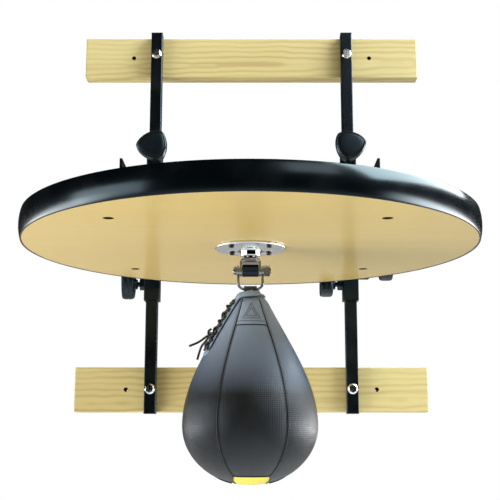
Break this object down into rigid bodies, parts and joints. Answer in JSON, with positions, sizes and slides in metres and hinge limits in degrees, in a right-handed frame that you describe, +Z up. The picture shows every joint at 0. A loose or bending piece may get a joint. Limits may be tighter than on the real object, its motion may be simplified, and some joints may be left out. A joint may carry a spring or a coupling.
{
  "type": "speed bag platform",
  "caption": "Wall-hung round speed bag platform on square uprights, with sliding arms, clamp knobs, a swivel and a hanging leather speed bag.",
  "frame": {"origin": "middle of the upper wall board's back face, which lies on the wall", "axes": "+Z up, +Y into the wall, +X to the right of someone facing the wall"},
  "size_m": [0.6096, 0.6478, 0.7483],
  "materials": {
    "pine": "pale pine, lightly finished",
    "varnished_wood": "satin varnish",
    "edge_band": "gloss black",
    "black_steel": "gloss black powder coat",
    "black_plastic": "satin black moulding",
    "bright_steel": "zinc plated",
    "dark_steel": "black oxide",
    "chrome": "polished",
    "leather": "charcoal synthetic leather",
    "rubber": "matt"
  },
  "bodies": {
    "wall_frame": {"wall_board_upper": "pine", "wall_board_lower": "pine", "upright_left": "black_steel", "upright_right": "black_steel", "upright_cap_upper_left": "black_plastic", "upright_bolt_upper_left": "bright_steel", "tee_nut_upper_left": "bright_steel", "upright_cap_upper_right": "black_plastic", "upright_bolt_upper_right": "bright_steel", "tee_nut_upper_right": "bright_steel", "upright_cap_lower_left": "black_plastic", "upright_bolt_lower_left": "bright_steel", "tee_nut_lower_left": "bright_steel", "upright_cap_lower_right": "black_plastic", "upright_bolt_lower_right": "bright_steel", "tee_nut_lower_right": "bright_steel"},
    "carriage": {"platform_board": "varnished_wood", "platform_edge_band": "edge_band", "arm_left": "black_steel", "brace_left": "black_steel", "brace_bolt_left": "bright_steel", "brace_nut_left": "bright_steel", "platform_bolt_front_left": "dark_steel", "platform_bolt_rear_left": "dark_steel", "arm_right": "black_steel", "brace_right": "black_steel", "brace_bolt_right": "bright_steel", "brace_nut_right": "bright_steel", "platform_bolt_front_right": "dark_steel", "platform_bolt_rear_right": "dark_steel", "swivel_flange": "chrome", "flange_screw_1": "bright_steel", "flange_screw_2": "bright_steel", "flange_screw_3": "bright_steel", "flange_screw_4": "bright_steel", "swivel_bearing": "bright_steel"},
    "stud_upper_left": {"clamp_stud_upper_left": "bright_steel"},
    "knob_upper_left": {"clamp_knob_upper_left": "black_plastic"},
    "stud_lower_left_a": {"clamp_stud_lower_left_a": "bright_steel"},
    "knob_lower_left_a": {"clamp_knob_lower_left_a": "black_plastic"},
    "stud_lower_left_b": {"clamp_stud_lower_left_b": "bright_steel"},
    "knob_lower_left_b": {"clamp_knob_lower_left_b": "black_plastic"},
    "stud_upper_right": {"clamp_stud_upper_right": "bright_steel"},
    "knob_upper_right": {"clamp_knob_upper_right": "black_plastic"},
    "stud_lower_right_a": {"clamp_stud_lower_right_a": "bright_steel"},
    "knob_lower_right_a": {"clamp_knob_lower_right_a": "black_plastic"},
    "stud_lower_right_b": {"clamp_stud_lower_right_b": "bright_steel"},
    "knob_lower_right_b": {"clamp_knob_lower_right_b": "black_plastic"},
    "swivel": {"swivel_clevis": "chrome", "cross_bolt": "bright_steel", "cross_nut": "bright_steel", "cross_roller": "black_plastic"},
    "shackle": {"shackle": "chrome"},
    "bag": {"bag_cover": "leather", "bag_bladder": "rubber", "strap_loop": "leather", "bag_lace": "leather", "lace_tail_long": "leather", "lace_tail_short": "leather"}
  },
  "joints": [
    {"name": "height_slide", "type": "slide", "parent": "wall_frame", "child": "carriage", "axis": [0, 0, 1], "range_m": [-0.1, 0.11]},
    {"name": "stud_upper_left_slide", "type": "slide", "parent": "carriage", "child": "stud_upper_left", "axis": [0, -1, 0], "range_m": [0, 0.003]},
    {"name": "knob_upper_left_turn", "type": "hinge", "parent": "stud_upper_left", "child": "knob_upper_left", "pos_m": [-0.1624, -0.0605, -0.1723], "axis": [0, -1, 0], "range_deg": [0, 720]},
    {"name": "stud_lower_left_a_slide", "type": "slide", "parent": "carriage", "child": "stud_lower_left_a", "axis": [-1, 0, 0], "range_m": [0, 0.003]},
    {"name": "knob_lower_left_a_turn", "type": "hinge", "parent": "stud_lower_left_a", "child": "knob_lower_left_a", "pos_m": [-0.1911, -0.0328, -0.3978], "axis": [-1, 0, 0], "range_deg": [0, 720]},
    {"name": "stud_lower_left_b_slide", "type": "slide", "parent": "carriage", "child": "stud_lower_left_b", "axis": [1, 0, 0], "range_m": [0, 0.003]},
    {"name": "knob_lower_left_b_turn", "type": "hinge", "parent": "stud_lower_left_b", "child": "knob_lower_left_b", "pos_m": [-0.1137, -0.0308, -0.3748], "axis": [1, 0, 0], "range_deg": [0, 720]},
    {"name": "stud_upper_right_slide", "type": "slide", "parent": "carriage", "child": "stud_upper_right", "axis": [0, -1, 0], "range_m": [0, 0.003]},
    {"name": "knob_upper_right_turn", "type": "hinge", "parent": "stud_upper_right", "child": "knob_upper_right", "pos_m": [0.1624, -0.0605, -0.1723], "axis": [0, -1, 0], "range_deg": [0, 720]},
    {"name": "stud_lower_right_a_slide", "type": "slide", "parent": "carriage", "child": "stud_lower_right_a", "axis": [-1, 0, 0], "range_m": [0, 0.003]},
    {"name": "knob_lower_right_a_turn", "type": "hinge", "parent": "stud_lower_right_a", "child": "knob_lower_right_a", "pos_m": [0.1337, -0.0328, -0.3978], "axis": [-1, 0, 0], "range_deg": [0, 720]},
    {"name": "stud_lower_right_b_slide", "type": "slide", "parent": "carriage", "child": "stud_lower_right_b", "axis": [1, 0, 0], "range_m": [0, 0.003]},
    {"name": "knob_lower_right_b_turn", "type": "hinge", "parent": "stud_lower_right_b", "child": "knob_lower_right_b", "pos_m": [0.2111, -0.0308, -0.3748], "axis": [1, 0, 0], "range_deg": [0, 720]},
    {"name": "swivel_turn", "type": "hinge", "parent": "carriage", "child": "swivel", "pos_m": [0, -0.343, -0.4304], "axis": [0, 0, 1], "continuous": true},
    {"name": "shackle_swing", "type": "hinge", "parent": "swivel", "child": "shackle", "pos_m": [0, -0.343, -0.4304], "axis": [1, 0, 0], "range_deg": [-54, 54]},
    {"name": "bag_swing", "type": "hinge", "parent": "shackle", "child": "bag", "pos_m": [0, -0.343, -0.4551], "axis": [1, 0, 0], "range_deg": [-18, 18]}
  ],
  "couplings": [
    {"joint": "stud_upper_left_slide", "follows": "knob_upper_left_turn", "m_per_rad": 0.0002387},
    {"joint": "stud_lower_left_a_slide", "follows": "knob_lower_left_a_turn", "m_per_rad": 0.0002387},
    {"joint": "stud_lower_left_b_slide", "follows": "knob_lower_left_b_turn", "m_per_rad": 0.0002387},
    {"joint": "stud_upper_right_slide", "follows": "knob_upper_right_turn", "m_per_rad": 0.0002387},
    {"joint": "stud_lower_right_a_slide", "follows": "knob_lower_right_a_turn", "m_per_rad": 0.0002387},
    {"joint": "stud_lower_right_b_slide", "follows": "knob_lower_right_b_turn", "m_per_rad": 0.0002387}
  ]
}
